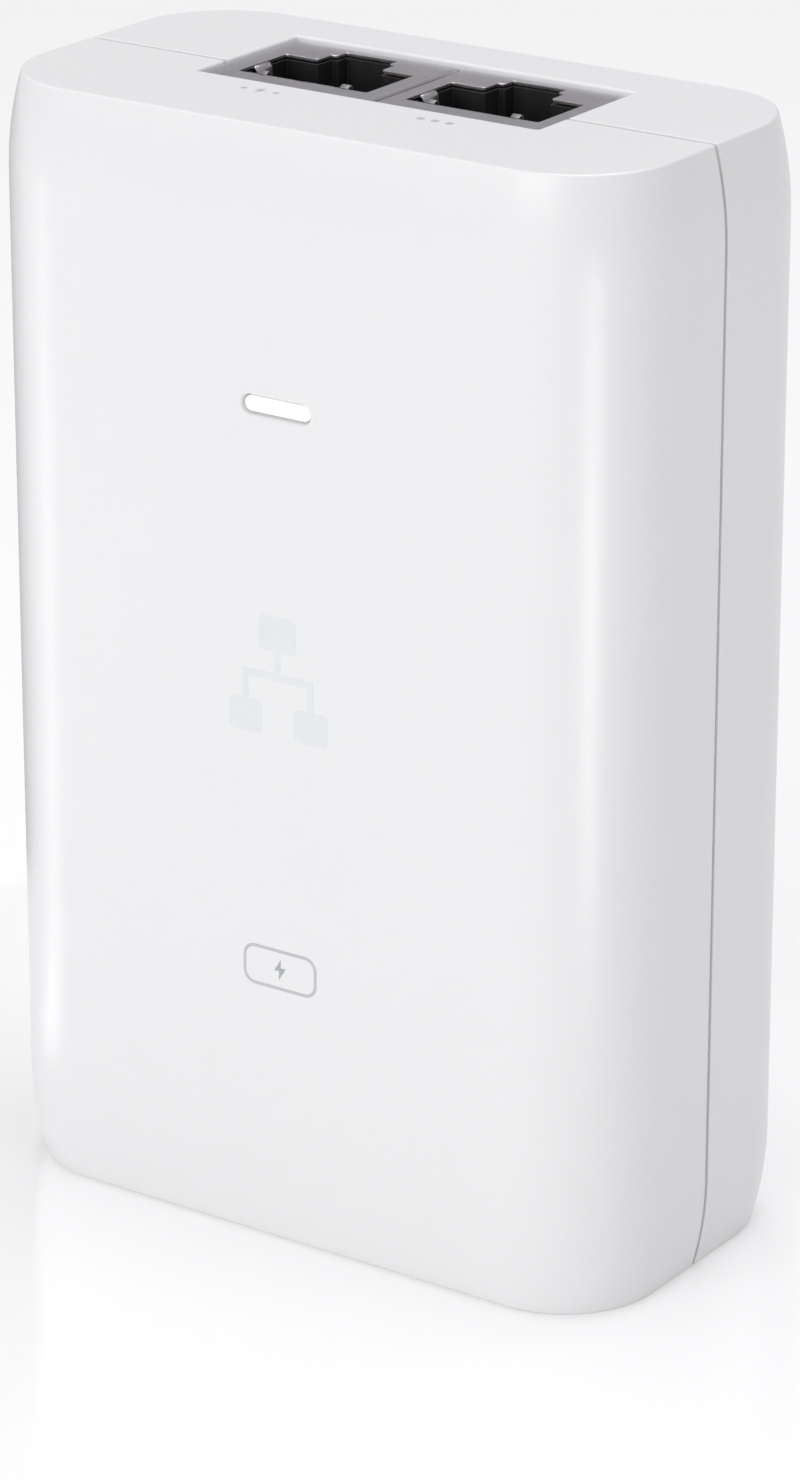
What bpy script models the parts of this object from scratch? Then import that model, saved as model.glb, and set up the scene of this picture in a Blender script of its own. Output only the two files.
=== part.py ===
"""Two-port PoE injector: a white two-shell case that stands on its mains-inlet end, with two
shielded RJ45 jacks in the top, a status light slot in the front and the power supply inside.

Frame: metres, +Z up, origin at the centre of the bottom end face. The front face looks along -Y.
All driving dimensions below are in millimetres and are turned into metres by MM.
"""

import math

import bmesh
import bpy
from mathutils import Matrix, Vector

MM = 0.001

# ---- driving dimensions, mm -------------------------------------------------------------
W, D, H = 60.4, 31.8, 92.0          # case width (X), depth (Y), height (Z)
CORNER_R = 9.5                      # radius of the four upright corners
END_RUN, END_ARC = 8.0, 28.0        # each end curves in over END_RUN, on an arc of END_ARC
WALL, WALL_Z = 2.0, 2.0             # case wall, and end wall
SEAM_Y, SEAM_GAP = -0.2, 0.35       # parting plane and the visible shut line
RIM = 3.3                           # thickened rim of the front shell beside the seam
LIP_INSET, LIP_LONG = 2.35, 2.0     # tongue that reaches into the rear shell

BOSS_X, BOSS_Z = 22.5, (9.0, 83.0)  # four case screws
SCREW_R, SCREW_HEAD_R = 1.05, 2.2

JACK_W, JACK_Y0, JACK_Y1 = 15.55, -3.95, 9.25   # shielded RJ45 jack, width and its Y span
JACK_TOP, JACK_DEEP = 91.6, 18.1              # mouth plane, and length down into the case
JACK_X = (-7.88, 7.88)                        # jack centres
SHEET = 0.3                                   # shield sheet metal
PORT_W, PORT_Y0, PORT_Y1 = 12.2, -1.2, 5.25   # plug opening
STEP_W, STEP_Y = 6.1, 7.1                     # first step of the latch notch
LATCH_W, LATCH_Y1 = 4.9, 8.3                  # notch for the plug's latch
CAVITY_Z = 78.3                               # bottom of the plug cavity
CONTACT_PITCH, CONTACT_R = 1.016, 0.2
HINGE_Y, HINGE_Z = -2.35, 89.3                # where the contact springs bend

PCB_X, PCB_Y0, PCB_Y1, PCB_Z = 25.6, 9.45, 11.05, (3.5, 88.5)

LED_Z = 70.3                                  # status light slot
SLOT_W, SLOT_H = 6.5, 1.6
INLET_Y, INLET_W, INLET_D, INLET_H = -0.8, 27.4, 19.6, 24.5   # IEC C14 inlet
INLET_CAV_W, INLET_CAV_D, INLET_CAV_H = 24.4, 16.8, 17.5

# ---- scene ------------------------------------------------------------------------------
for old in list(bpy.data.objects):
    bpy.data.objects.remove(old, do_unlink=True)


def new_collection(name, hidden=False):
    made = bpy.data.collections.new(name)
    bpy.context.scene.collection.children.link(made)
    made.hide_render = hidden
    return made


PART = new_collection("poe_injector")
CUTTERS = new_collection("cutters", hidden=True)


def material(name, rgb, roughness=0.5, metallic=0.0):
    made = bpy.data.materials.new(name)
    made.use_nodes = True
    shader = made.node_tree.nodes["Principled BSDF"]
    shader.inputs["Base Color"].default_value = (*rgb, 1.0)
    shader.inputs["Roughness"].default_value = roughness
    shader.inputs["Metallic"].default_value = metallic
    made.diffuse_color = (*rgb, 1.0)
    return made


WHITE = material("case_white", (0.86, 0.86, 0.87), 0.32)
LENS = material("lens_white", (0.95, 0.95, 0.95), 0.2)
STEEL = material("shield_steel", (0.62, 0.60, 0.62), 0.3, 1.0)
BLACK = material("insulator_black", (0.012, 0.012, 0.013), 0.45)
GOLD = material("contact_gold", (0.85, 0.62, 0.25), 0.25, 1.0)
PLATED = material("terminal_nickel", (0.72, 0.70, 0.66), 0.28, 1.0)
GREEN = material("board_green", (0.03, 0.20, 0.08), 0.5)
SHEET_CLEAR = material("insulating_sheet", (0.75, 0.72, 0.62), 0.4)
FERRITE = material("ferrite", (0.07, 0.07, 0.075), 0.6)
COPPER = material("enamelled_copper", (0.55, 0.22, 0.06), 0.3, 0.8)
TAPE = material("winding_tape", (0.75, 0.60, 0.08), 0.45)
SLEEVE = material("capacitor_sleeve", (0.03, 0.05, 0.12), 0.35)
FILM = material("film_capacitor", (0.80, 0.62, 0.10), 0.45)
DISC = material("disc_blue", (0.05, 0.12, 0.45), 0.45)
EPOXY = material("epoxy_black", (0.02, 0.02, 0.022), 0.5)
ALUMINIUM = material("heatsink_aluminium", (0.75, 0.76, 0.78), 0.35, 1.0)
ZINC = material("screw_zinc", (0.60, 0.60, 0.62), 0.3, 1.0)
LABEL = material("label_silver", (0.70, 0.71, 0.72), 0.45)
LAMP = material("led_resin", (0.9, 0.88, 0.7), 0.3)


# ---- modelling helpers ------------------------------------------------------------------
def place(bm, name, at, mat, cutter=False, turn=None):
    """Puts the mesh in the scene with its origin at a point given in mm."""
    bmesh.ops.recalc_face_normals(bm, faces=bm.faces[:])
    data = bpy.data.meshes.new(name)
    bm.to_mesh(data)
    bm.free()
    obj = bpy.data.objects.new(name, data)
    (CUTTERS if cutter else PART).objects.link(obj)
    obj.location = Vector(at) * MM
    if turn is not None:
        obj.rotation_euler = turn
    if cutter:
        obj.hide_render = True
        obj.display_type = "WIRE"
    elif mat is not None:
        data.materials.append(mat)
    return obj


def box(name, lo, hi, mat=None, cutter=False, bevel=0.0, segs=1, along=None):
    """A cube primitive from corner to corner, mm. along bevels only the edges parallel to that axis."""
    lo, hi = Vector(lo), Vector(hi)
    bm = bmesh.new()
    bmesh.ops.create_cube(bm, size=1.0)
    bmesh.ops.scale(bm, vec=(hi - lo) * MM, verts=bm.verts[:])
    if bevel:
        edges = bm.edges[:]
        if along is not None:
            k = "XYZ".index(along)
            edges = [
                e
                for e in edges
                if abs((e.verts[0].co - e.verts[1].co)[k]) > 1e-7
            ]
        bmesh.ops.bevel(
            bm, geom=edges, offset=bevel * MM, segments=segs, profile=0.5,
            affect="EDGES", clamp_overlap=False,
        )
        bmesh.ops.remove_doubles(bm, verts=bm.verts[:], dist=1e-8)
    return place(bm, name, (lo + hi) / 2, mat, cutter)


AXIS_TURN = {"X": (0, math.radians(90), 0), "Y": (math.radians(-90), 0, 0), "Z": (0, 0, 0)}


def cylinder(name, at, axis, radius, length, segs=16, mat=None, cutter=False):
    """A cylinder primitive centred on a point, mm."""
    bm = bmesh.new()
    bmesh.ops.create_cone(
        bm, cap_ends=True, cap_tris=False, segments=segs,
        radius1=radius * MM, radius2=radius * MM, depth=length * MM,
    )
    return place(bm, name, at, mat, cutter, AXIS_TURN[axis])


def turned(name, at, axis, profile, segs, mat=None):
    """A turned shape: profile is (radius, height) from the axis at the top, down the outer side, to the axis."""
    bm = bmesh.new()
    verts = [bm.verts.new((r * MM, 0, h * MM)) for r, h in profile]
    for a, b in zip(verts, verts[1:]):
        bm.edges.new((a, b))
    obj = place(bm, name, at, mat, False, AXIS_TURN[axis])
    screw = obj.modifiers.new("turn", "SCREW")
    screw.axis = "Z"
    screw.angle = math.tau
    screw.steps = screw.render_steps = segs
    screw.use_merge_vertices = True
    screw.merge_threshold = 1e-6
    screw.use_smooth_shade = True
    return obj


def outline(name, points, axis, lo, hi, mat=None, cutter=False):
    """A flat outline, in mm, pushed along an axis from lo to hi. Points are (x, y) for Z, (x, z) for Y, (y, z) for X."""
    order = {"Z": (0, 1, 2), "Y": (0, 2, 1), "X": (1, 2, 0)}[axis]
    bm = bmesh.new()
    ring = []
    for p in points:
        co = [0.0, 0.0, 0.0]
        co[order[0]], co[order[1]], co[order[2]] = p[0] * MM, p[1] * MM, lo * MM
        ring.append(bm.verts.new(co))
    face = bm.faces.new(ring)
    made = bmesh.ops.extrude_face_region(bm, geom=[face])
    move = [0.0, 0.0, 0.0]
    move[order[2]] = (hi - lo) * MM
    bmesh.ops.translate(
        bm, vec=move, verts=[g for g in made["geom"] if isinstance(g, bmesh.types.BMVert)]
    )
    return place(bm, name, (0, 0, 0), mat, cutter)


def strip(name, points, axis, centre, width, thick, cutter=True):
    """A bent strip of sheet metal: a polyline in the plane across axis, swept to a ribbon, then Solidify."""
    order = {"Z": (0, 1, 2), "Y": (0, 2, 1), "X": (1, 2, 0)}[axis]
    bm = bmesh.new()
    line = []
    for p in points:
        co = [0.0, 0.0, 0.0]
        co[order[0]], co[order[1]] = p[0] * MM, p[1] * MM
        co[order[2]] = (centre - width / 2) * MM
        line.append(bm.verts.new(co))
    edges = [bm.edges.new(pair) for pair in zip(line, line[1:])]
    made = bmesh.ops.extrude_edge_only(bm, edges=edges)
    move = [0.0, 0.0, 0.0]
    move[order[2]] = width * MM
    bmesh.ops.translate(
        bm, vec=move, verts=[g for g in made["geom"] if isinstance(g, bmesh.types.BMVert)]
    )
    obj = place(bm, name, (0, 0, 0), None, cutter)
    solid = obj.modifiers.new("sheet", "SOLIDIFY")
    solid.thickness = thick * MM
    solid.offset = 0.0
    solid.use_even_offset = True
    return obj


def boolean(obj, other, operation):
    mod = obj.modifiers.new(operation.lower() + "_" + other.name, "BOOLEAN")
    mod.operation = operation
    mod.solver = "EXACT"
    mod.object = other
    return obj


def cut(obj, *others):
    for other in others:
        boolean(obj, other, "DIFFERENCE")
    return obj


def join(obj, *others):
    for other in others:
        boolean(obj, other, "UNION")
    return obj


# ---- the case body ----------------------------------------------------------------------
def end_inset(z):
    """How far the wall has curved in at height z, mm."""
    near = min(z, H - z)
    return (END_RUN - near) ** 2 / (2 * END_ARC) if near < END_RUN else 0.0


def case_body(name, inset, y0, y1, z0=0.0, z1=H, mat=None, cutter=True, segs=6):
    """The rounded, end-curved case solid, shrunk by inset, kept between two Y planes and two Z planes."""
    bm = bmesh.new()
    bmesh.ops.create_cube(bm, size=1.0)
    bmesh.ops.scale(bm, vec=Vector((W, D, z1 - z0)), verts=bm.verts[:])
    bmesh.ops.translate(bm, vec=Vector((0, 0, (z0 + z1) / 2)), verts=bm.verts[:])
    upright = [
        e for e in bm.edges
        if abs(e.verts[0].co.z - e.verts[1].co.z) > 1
    ]
    bmesh.ops.bevel(
        bm, geom=upright, offset=CORNER_R, segments=segs, profile=0.5,
        affect="EDGES", clamp_overlap=False,
    )
    for step in (1.4, 3.0, 5.2, END_RUN):
        for level in (step, H - step):
            if z0 + 0.2 < level < z1 - 0.2:
                bmesh.ops.bisect_plane(
                    bm, geom=bm.verts[:] + bm.edges[:] + bm.faces[:],
                    plane_co=(0, 0, level), plane_no=(0, 0, 1),
                )
    for v in bm.verts:
        core = Vector((
            max(-(W / 2 - CORNER_R), min(W / 2 - CORNER_R, v.co.x)),
            max(-(D / 2 - CORNER_R), min(D / 2 - CORNER_R, v.co.y)),
        ))
        out = (v.co.xy - core) / CORNER_R
        v.co.xy = core + out * (CORNER_R - inset - end_inset(v.co.z))
    for level, keep_above in ((y0, True), (y1, False)):
        if level is None:
            continue
        bmesh.ops.bisect_plane(
            bm, geom=bm.verts[:] + bm.edges[:] + bm.faces[:],
            plane_co=(0, level, 0), plane_no=(0, 1, 0),
            clear_inner=keep_above, clear_outer=not keep_above,
        )
        rim = [e for e in bm.edges if e.is_boundary]
        bmesh.ops.edgeloop_fill(bm, edges=rim)
    bmesh.ops.scale(bm, vec=(MM, MM, MM), verts=bm.verts[:])
    return place(bm, name, (0, 0, 0), mat, cutter)


front = case_body(
    "front_shell", 0.0, None, SEAM_Y - SEAM_GAP / 2, mat=WHITE, cutter=False)
rear = case_body(
    "rear_shell", 0.0, SEAM_Y + SEAM_GAP / 2, None, mat=WHITE, cutter=False)

tongue = case_body(
    "cut_tongue", LIP_INSET, SEAM_Y - 2.0, SEAM_Y + LIP_LONG, WALL_Z + 0.35, H - WALL_Z - 0.35)
room_front = case_body(
    "cut_room_front", WALL, None, SEAM_Y - 3.0, WALL_Z, H - WALL_Z)
room_rim = case_body(
    "cut_room_rim", RIM, SEAM_Y - 4.0, SEAM_Y + 3.0, RIM, H - RIM)
room_rear = case_body(
    "cut_room_rear", WALL, SEAM_Y - 1.0, None, WALL_Z, H - WALL_Z)
join(front, tongue)
cut(front, room_front, room_rim)
cut(rear, room_rear)

# screw bosses: the front ones rise to the board, the rear ones press it down
for sx in (-1, 1):
    for bz in BOSS_Z:
        at = (sx * BOSS_X, 0, bz)
        tag = ("l" if sx < 0 else "r") + ("t" if bz > H / 2 else "b")
        tall = cylinder("cut_boss_f_" + tag, (at[0], (-14.2 + 9.35) / 2, bz), "Y", 3.0, 9.35 + 14.2, 12, cutter=True)
        bore = cylinder("cut_bore_f_" + tag, (at[0], 5.5, bz), "Y", 1.35, 12.0, 10, cutter=True)
        low = cylinder("cut_boss_r_" + tag, (at[0], (11.15 + 14.4) / 2, bz), "Y", 3.6, 14.4 - 11.15, 12, cutter=True)
        well = cylinder("cut_well_r_" + tag, (at[0], 16.0, bz), "Y", 2.6, 5.2, 16, cutter=True)
        thru = cylinder("cut_thru_r_" + tag, (at[0], 12.5, bz), "Y", 1.4, 4.0, 10, cutter=True)
        join(front, tall)
        cut(front, bore)
        join(rear, low)
        cut(rear, well, thru)
        head = [(0, 1.5), (1.5, 1.5), (SCREW_HEAD_R, 0.9), (SCREW_HEAD_R, 0.0), (SCREW_R, 0.0),
                (SCREW_R, -10.6), (0.35, -12.0), (0, -12.0)]
        name = "case_screw_" + ("left" if sx < 0 else "right") + ("_top" if bz > H / 2 else "_bottom")
        screw = turned(name, (at[0], 13.45, bz), "Y", head, 12, ZINC)
        # AXIS_TURN["Y"] sends the profile's top to +Y, so the head looks out of the back
        for k, size in enumerate(((1.3, 0.34), (0.34, 1.3))):
            slot = box("cut_drive_%s_%d" % (tag, k),
                       (at[0] - size[0], 14.35, bz - size[1]), (at[0] + size[0], 16.0, bz + size[1]),
                       cutter=True)
            cut(screw, slot)

# window for the two jacks, with clearance down beside them
window = box("cut_window", (-15.85, JACK_Y0 - 0.15, 72.9), (15.85, JACK_Y1 + 0.15, H + 2), cutter=True)
cut(front, window)
cut(rear, window)

# status light slot
slot = box("cut_light_slot", (-SLOT_W / 2, -20, LED_Z - SLOT_H / 2), (SLOT_W / 2, -11, LED_Z + SLOT_H / 2),
           cutter=True, bevel=SLOT_H / 2 - 0.01, segs=4, along="Y")
cut(front, slot)

# label recess in the back
recess = box("cut_label", (-17.2, D / 2 - 0.3, 21.8), (17.2, D / 2 + 2, 70.2), cutter=True, bevel=1.2, segs=2, along="Y")
cut(rear, recess)
box("rating_label", (-16.9, D / 2 - 0.25, 22.1), (16.9, D / 2 - 0.05, 69.9), LABEL, bevel=1.0, segs=2, along="Y")


# ---- mains inlet ------------------------------------------------------------------------
def inlet_outline(width, depth, chamfer):
    """The C14 outline: square at the front side, chamfered at the earth side, which faces the board."""
    x, y0, y1 = width / 2, INLET_Y - depth / 2, INLET_Y + depth / 2
    return [(-x, y0), (x, y0), (x, y1 - chamfer), (x - chamfer, y1), (-x + chamfer, y1), (-x, y1 - chamfer)]


hole = outline("cut_inlet_hole", inlet_outline(INLET_W + 0.4, INLET_D + 0.4, 4.6), "Z", -1.0, INLET_H + 0.3, cutter=True)
cut(front, hole)
cut(rear, hole)
inlet = outline("inlet_housing", inlet_outline(INLET_W, INLET_D, 4.6), "Z", 0.3, INLET_H, BLACK)
cut(inlet, outline("cut_inlet_room", inlet_outline(INLET_CAV_W, INLET_CAV_D, 4.4), "Z", -1.0, INLET_CAV_H, cutter=True))
PINS = (("line", -7.0, -2.0, 1.9), ("neutral", 7.0, -2.0, 1.9), ("earth", 0.0, 2.0, 1.2))
for pin, px, py, tip in PINS:
    cy = INLET_Y + py
    passage = box("cut_pin_way_" + pin, (px - 1.05, cy - 2.05, 16), (px + 1.05, cy + 2.05, 26), cutter=True)
    cut(inlet, passage)
    blade = box("inlet_pin_" + pin, (px - 1.0, cy - 2.0, tip), (px + 1.0, cy + 2.0, 25.6), PLATED,
                bevel=0.45, segs=1)
    tail = box("cut_tail_" + pin, (px - 0.7, cy - 1.0, 24.9), (px + 0.7, 9.0, 25.5), cutter=True)
    foot = box("cut_foot_" + pin, (px - 0.6, 8.2, 24.95), (px + 0.6, 12.6, 25.45), cutter=True)
    join(blade, tail, foot)

# ---- jacks ------------------------------------------------------------------------------
JACK_Z0 = JACK_TOP - JACK_DEEP


def port_outline(xc, grow=0.0):
    x, s, n = PORT_W / 2 + grow, STEP_W / 2 + grow, LATCH_W / 2 + grow
    y0, y1, y2, y3 = PORT_Y0 - grow, PORT_Y1 + grow, STEP_Y + grow, LATCH_Y1 + grow
    right = [(x, y0), (x, y1), (s, y1), (s, y2), (n, y2), (n, y3)]
    return [(xc + a, b) for a, b in right] + [(xc - a, b) for a, b in reversed(right)]


def make_jack(tag, xc):
    half = JACK_W / 2
    # sheet-metal can, open towards the board
    shield = box(tag + "_shield", (xc - half, JACK_Y0, JACK_Z0), (xc + half, JACK_Y1, JACK_TOP), STEEL,
                 bevel=0.25, segs=1)
    cut(shield,
        box("cut_can_" + tag, (xc - half + SHEET, JACK_Y0 + SHEET, JACK_Z0 + SHEET),
            (xc + half - SHEET, JACK_Y1 + 3, JACK_TOP - SHEET), cutter=True),
        outline("cut_mouth_" + tag, port_outline(xc), "Z", JACK_TOP - 2, JACK_TOP + 2, cutter=True))
    top = JACK_TOP - SHEET / 2
    for side in (-1, 1):
        wing = strip("cut_side_finger_%s_%d" % (tag, side > 0),
                     [(xc + side * x, z) for x, z in
                      ((6.8, top), (6.1, top - 0.02), (5.82, top - 0.45), (5.7, top - 1.4), (5.92, top - 2.8))],
                     "Y", 1.9, 2.0, 0.18)
        toe = strip("cut_front_finger_%s_%d" % (tag, side > 0),
                    [(y, z) for y, z in
                     ((-2.0, top), (-1.45, top + 0.17), (-1.0, top + 0.38), (-0.5, top + 0.38), (-0.2, top + 0.15),
                      (-0.15, top - 0.4), (-0.4, top - 1.05))],
                    "X", xc + side * 3.87, 1.0, 0.18)
        leg = box("cut_leg_%s_%d" % (tag, side > 0),
                  (xc + side * 7.62 - 0.11, 8.0, 80.0), (xc + side * 7.62 + 0.11, 12.5, 81.6), cutter=True)
        join(shield, wing, toe, leg)

    # moulded housing with the plug cavity
    housing = box(tag + "_housing", (xc - 7.38, -3.55, JACK_Z0 + 0.4), (xc + 7.38, JACK_Y1 - 0.4, JACK_TOP - 0.4), BLACK)
    cut(housing,
        outline("cut_cavity_" + tag, port_outline(xc, -0.1), "Z", CAVITY_Z, JACK_TOP + 2, cutter=True),
        box("cut_contact_room_" + tag, (xc - 4.35, -3.05, 74.3), (xc + 4.35, -1.0, JACK_TOP + 1), cutter=True),
        box("cut_arm_room_" + tag, (xc - 4.35, -3.05, 74.3), (xc + 4.35, 12.0, 76.9), cutter=True),
        box("cut_finger_room_" + tag, (xc - 6.9, 0.6, 87.6), (xc + 6.9, 3.2, JACK_TOP + 1), cutter=True),
        box("cut_toe_room_" + tag, (xc - 4.7, -2.6, 90.0), (xc + 4.7, -0.9, JACK_TOP + 1), cutter=True))

    # contact carrier: plate, arm to the board, comb ribs and board pins
    carrier = box(tag + "_contact_carrier", (xc - 4.2, -2.95, 74.5), (xc + 4.2, -2.5, 88.7), EPOXY)
    arm = box("cut_arm_" + tag, (xc - 4.2, -2.95, 74.5), (xc + 4.2, 9.1, 76.5), cutter=True)
    join(carrier, arm)
    for k in range(7):
        rib_x = xc + (k - 3) * CONTACT_PITCH
        join(carrier, box("cut_rib_%s_%d" % (tag, k), (rib_x - 0.15, -2.7, 75.5), (rib_x + 0.15, -1.55, 88.2), cutter=True))
    for k in range(8):
        pin_x = xc + (k - 3.5) * CONTACT_PITCH
        pin_z = 75.1 if k % 2 else 75.9
        join(carrier, box("cut_board_pin_%s_%d" % (tag, k),
                          (pin_x - 0.2, 8.6, pin_z - 0.2), (pin_x + 0.2, 12.5, pin_z + 0.2), cutter=True))

    # eight contact springs that swing about one line when a plug goes in
    swing = bpy.data.objects.new(tag + "_contact_hinge", None)
    PART.objects.link(swing)
    swing.location = Vector((xc, HINGE_Y, HINGE_Z)) * MM
    path = [(-2.7, 88.95), (-2.68, 89.3), (-2.35, 89.58), (-2.02, 89.3), (0.55, 83.3), (0.72, 82.7), (0.6, 82.1), (0.1, 81.3)]
    for k in range(8):
        x = (k - 3.5) * CONTACT_PITCH
        data = bpy.data.curves.new("%s_contact_%d" % (tag, k + 1), "CURVE")
        data.dimensions = "3D"
        data.bevel_depth = CONTACT_R * MM
        data.bevel_resolution = 1
        data.use_fill_caps = True
        line = data.splines.new("POLY")
        line.points.add(len(path) - 1)
        for point, (y, z) in zip(line.points, path):
            point.co = (0, (y - HINGE_Y) * MM, (z - HINGE_Z) * MM, 1)
        data.materials.append(GOLD)
        wire = bpy.data.objects.new("%s_contact_%d" % (tag, k + 1), data)
        PART.objects.link(wire)
        wire.parent = swing
        wire.location = (x * MM, 0, 0)


make_jack("data_jack", JACK_X[1])
make_jack("poe_jack", JACK_X[0])

# ---- board ------------------------------------------------------------------------------
board = box("circuit_board", (-PCB_X, PCB_Y0, PCB_Z[0]), (PCB_X, PCB_Y1, PCB_Z[1]), GREEN, bevel=2.0, segs=2, along="Y")
for sx in (-1, 1):
    for bz in BOSS_Z:
        cut(board, cylinder("cut_board_hole_%d_%d" % (sx > 0, bz), (sx * BOSS_X, 10.2, bz), "Y", 1.5, 4.0, 10, cutter=True))
for n, xc in enumerate(JACK_X):
    cut(board, box("cut_board_pins_%d" % n, (xc - 3.95, 8, 74.7), (xc + 3.95, 13, 76.3), cutter=True))
for n, x in enumerate((-15.5, 0.0, 15.5)):
    w = 0.35 if x else 0.6
    cut(board, box("cut_board_leg_%d" % n, (x - w, 8, 79.8), (x + w, 13, 81.8), cutter=True))
for pin, px, py, tip in PINS:
    cut(board, box("cut_board_tail_" + pin, (px - 0.8, 8, 24.75), (px + 0.8, 13, 25.65), cutter=True))
box("insulating_sheet", (-21.4, 13.1, 13.6), (21.4, 13.35, 78.4), SHEET_CLEAR, bevel=1.5, segs=1, along="Y")

# ---- status light -----------------------------------------------------------------------
pipe = box("light_pipe", (-SLOT_W / 2 + 0.1, -15.6, LED_Z - SLOT_H / 2 + 0.1), (SLOT_W / 2 - 0.1, -13.2, LED_Z + SLOT_H / 2 - 0.1),
           LENS, bevel=SLOT_H / 2 - 0.12, segs=4, along="Y")
join(pipe,
     box("cut_pipe_flange", (-4.4, -13.75, LED_Z - 1.5), (4.4, -12.8, LED_Z + 1.5), cutter=True),
     box("cut_pipe_stem", (-2.4, -13.3, LED_Z - 0.6), (2.4, 8.1, LED_Z + 0.6), cutter=True))
box("status_led", (-1.4, 8.3, LED_Z - 0.7), (1.4, 9.35, LED_Z + 0.7), LAMP, bevel=0.15)

# ---- power supply on the board ----------------------------------------------------------
FACE = PCB_Y0 - 0.1   # parts stand on the board's front side


def can(name, x, z, radius, tall, mat):
    profile = [(0, tall - 0.3), (radius - 1.6, tall - 0.3), (radius - 1.3, tall), (radius - 0.5, tall), (radius, tall - 0.6),
               (radius, 2.4), (radius - 0.45, 1.9), (radius, 1.4), (radius, 0.5), (radius - 0.5, 0.0), (0, 0.0)]
    obj = turned(name, (x, FACE, z), "Y", profile, 18, mat)
    obj.rotation_euler = (math.radians(90), 0, 0)   # top towards -Y
    return obj


box("fuse", (-24.4, FACE - 8.0, 15.4), (-16.2, FACE, 19.4), EPOXY, bevel=0.4)
varistor = cylinder("varistor", (20.0, FACE - 6.2, 19.0), "Z", 5.2, 3.8, 16, DISC)
box_x = box("x_capacitor", (-23.5, FACE - 14.0, 28.6), (-6.0, FACE, 36.4), FILM, bevel=0.5)
# common-mode choke: rectangular ferrite ring with a coil on each leg
choke = box("choke_core", (3.0, FACE - 16.5, 31.0), (21.0, FACE - 1.0, 36.0), FERRITE, bevel=0.4)
cut(choke, box("cut_choke", (7.2, FACE - 12.6, 29), (16.8, FACE - 4.9, 38), cutter=True))
for n, (x0, x1) in enumerate(((1.4, 8.8), (15.2, 22.6))):
    coil = box("choke_coil_%d" % (n + 1), (x0, FACE - 12.3, 29.2), (x1, FACE - 5.2, 37.8), COPPER, bevel=1.2, segs=2, along="Y")
    core = (3.0, 7.2) if n == 0 else (16.8, 21.0)
    cut(coil, box("cut_coil_%d" % n, (core[0] - 0.15, FACE - 20, 30.85), (core[1] + 0.15, FACE, 36.15), cutter=True))
bridge = box("bridge_rectifier", (-23.5, FACE - 13.5, 38.6), (-9.0, FACE - 2.5, 42.2), EPOXY, bevel=0.35)
for k in range(4):
    x = -22.0 + k * 3.85
    join(bridge, box("cut_bridge_lead_%d" % k, (x - 0.4, FACE - 3.5, 40.1), (x + 0.4, FACE, 40.7), cutter=True))
can("bulk_capacitor", -15.2, 52.6, 8.0, 21.5, SLEEVE)
can("output_capacitor_1", -19.8, 66.6, 4.0, 15.0, SLEEVE)
can("output_capacitor_2", 20.6, 66.8, 4.0, 15.0, SLEEVE)

# flyback transformer: core with two windows, bobbin on the middle leg, winding between its flanges
TX, TZ = 5.5, 53.6
core = box("transformer_core", (TX - 10.5, FACE - 17.0, TZ - 3.6), (TX + 10.5, FACE - 1.6, TZ + 3.6), FERRITE, bevel=0.3)
for s in (-1, 1):
    lo, hi = sorted((TX + s * 3.0, TX + s * 8.1))
    cut(core, box("cut_core_%d" % (s > 0), (lo, FACE - 14.0, TZ - 5), (hi, FACE - 4.6, TZ + 5), cutter=True))
bobbin = box("transformer_bobbin", (TX - 7.9, FACE - 13.8, TZ - 8.6), (TX + 7.9, FACE - 4.8, TZ + 8.6), EPOXY)
cut(bobbin,
    box("cut_bobbin_leg", (TX - 3.2, FACE - 20, TZ - 3.8), (TX + 3.2, FACE, TZ + 3.8), cutter=True))
waist = box("cut_bobbin_waist", (TX - 9, FACE - 12.9, TZ - 10), (TX + 9, FACE - 5.7, TZ + 10), cutter=True)
cut(waist, box("cut_waist_core", (TX - 4.0, FACE - 30, TZ - 4.6), (TX + 4.0, FACE + 2, TZ + 4.6), cutter=True))
cut(bobbin, waist)
for k in range(4):
    for s in (-1, 1):
        z = TZ + s * 8.0
        x = TX - 6.0 + k * 4.0
        join(bobbin, box("cut_bobbin_pin_%d_%d" % (k, s > 0), (x - 0.3, FACE - 5.4, z - 0.3), (x + 0.3, FACE, z + 0.3), cutter=True))
winding = box("transformer_winding", (TX - 7.7, FACE - 12.8, TZ - 8.4), (TX + 7.7, FACE - 5.8, TZ + 8.4), TAPE, bevel=1.6, segs=2, along="Y")
cut(winding, box("cut_winding", (TX - 4.15, FACE - 30, TZ - 4.75), (TX + 4.15, FACE + 2, TZ + 4.75), cutter=True))

# power transistor on its heatsink
sink = box("heatsink", (18.6, FACE - 19.0, 44.0), (19.8, FACE, 61.4), ALUMINIUM)
for k in range(3):
    z = 44.0 + k * 8.1
    join(sink, box("cut_fin_%d" % k, (19.5, FACE - 19.0 + 0.3, z + 0.1), (24.6 if k != 1 else 20.6, FACE - 14.2, z + 1.1), cutter=True))
mosfet = box("power_transistor", (19.95, FACE - 12.5, 47.0), (24.2, FACE - 3.5, 57.0), EPOXY, bevel=0.3)
for k in range(3):
    z = 49.46 + k * 2.54
    join(mosfet, box("cut_mosfet_lead_%d" % k, (21.6, FACE - 4.2, z - 0.35), (22.2, FACE, z + 0.35), cutter=True))
diode = box("output_rectifier", (-11.8, FACE - 12.0, 63.2), (-1.8, FACE - 3.0, 67.2), EPOXY, bevel=0.3)
for k in range(3):
    x = -9.34 + k * 2.54
    join(diode, box("cut_diode_lead_%d" % k, (x - 0.35, FACE - 3.6, 64.9), (x + 0.35, FACE, 65.5), cutter=True))
box("controller_ic", (-14.8, FACE - 1.7, 66.6), (-12.3, FACE, 71.6), EPOXY, bevel=0.15)
box("network_transformer", (3.9, FACE - 6.0, 64.2), (15.6, FACE, 72.0), EPOXY, bevel=0.3)
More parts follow.
